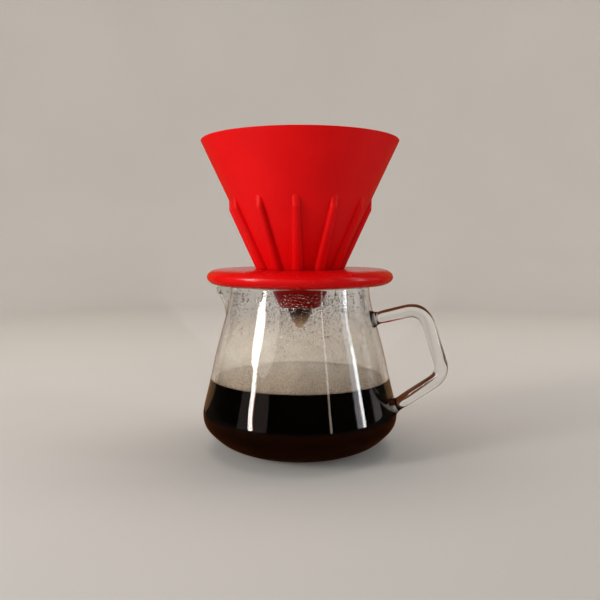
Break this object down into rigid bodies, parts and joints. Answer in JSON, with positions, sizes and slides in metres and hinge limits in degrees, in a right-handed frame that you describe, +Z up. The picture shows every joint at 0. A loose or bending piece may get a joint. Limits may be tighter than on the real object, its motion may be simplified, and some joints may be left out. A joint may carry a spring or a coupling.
{
  "type": "pour over dripper",
  "caption": "Ribbed cone dripper on a round-edged disc, seated on a glass server with a pouring lip and a bent glass rod handle.",
  "frame": {"origin": "centre of the server's flat base, on the surface it stands on", "axes": "+Z up along the cone's axis, +X towards the glass handle, -X towards the pouring lip"},
  "size_m": [0.1465, 0.117, 0.1825],
  "materials": {
    "server_glass": "clear borosilicate glass, fogged and beaded with condensation inside",
    "brewed_coffee": "black coffee, amber where thin",
    "dripper_red": "satin red moulded plastic",
    "filter_paper": "coffee-soaked filter paper with a crimped seam",
    "coffee_grounds": "wet ground coffee"
  },
  "bodies": {
    "server": {"server_body": "server_glass", "server_handle": "server_glass", "brewed_coffee": "brewed_coffee"},
    "plate": {"base_plate": "dripper_red"},
    "cone": {"dripper_cone": "dripper_red"},
    "filter": {"paper_filter": "filter_paper", "coffee_grounds": "coffee_grounds"}
  },
  "joints": [
    {"name": "dripper_lift", "type": "slide", "parent": "server", "child": "plate", "axis": [0, 0, 1], "range_m": [0, 0.12]},
    {"name": "cone_twist", "type": "hinge", "parent": "plate", "child": "cone", "pos_m": [0, 0, 0.1], "axis": [0, 0, 1], "range_deg": [0, 30]},
    {"name": "filter_lift", "type": "slide", "parent": "cone", "child": "filter", "axis": [0, 0, 1], "range_m": [0, 0.11]}
  ]
}
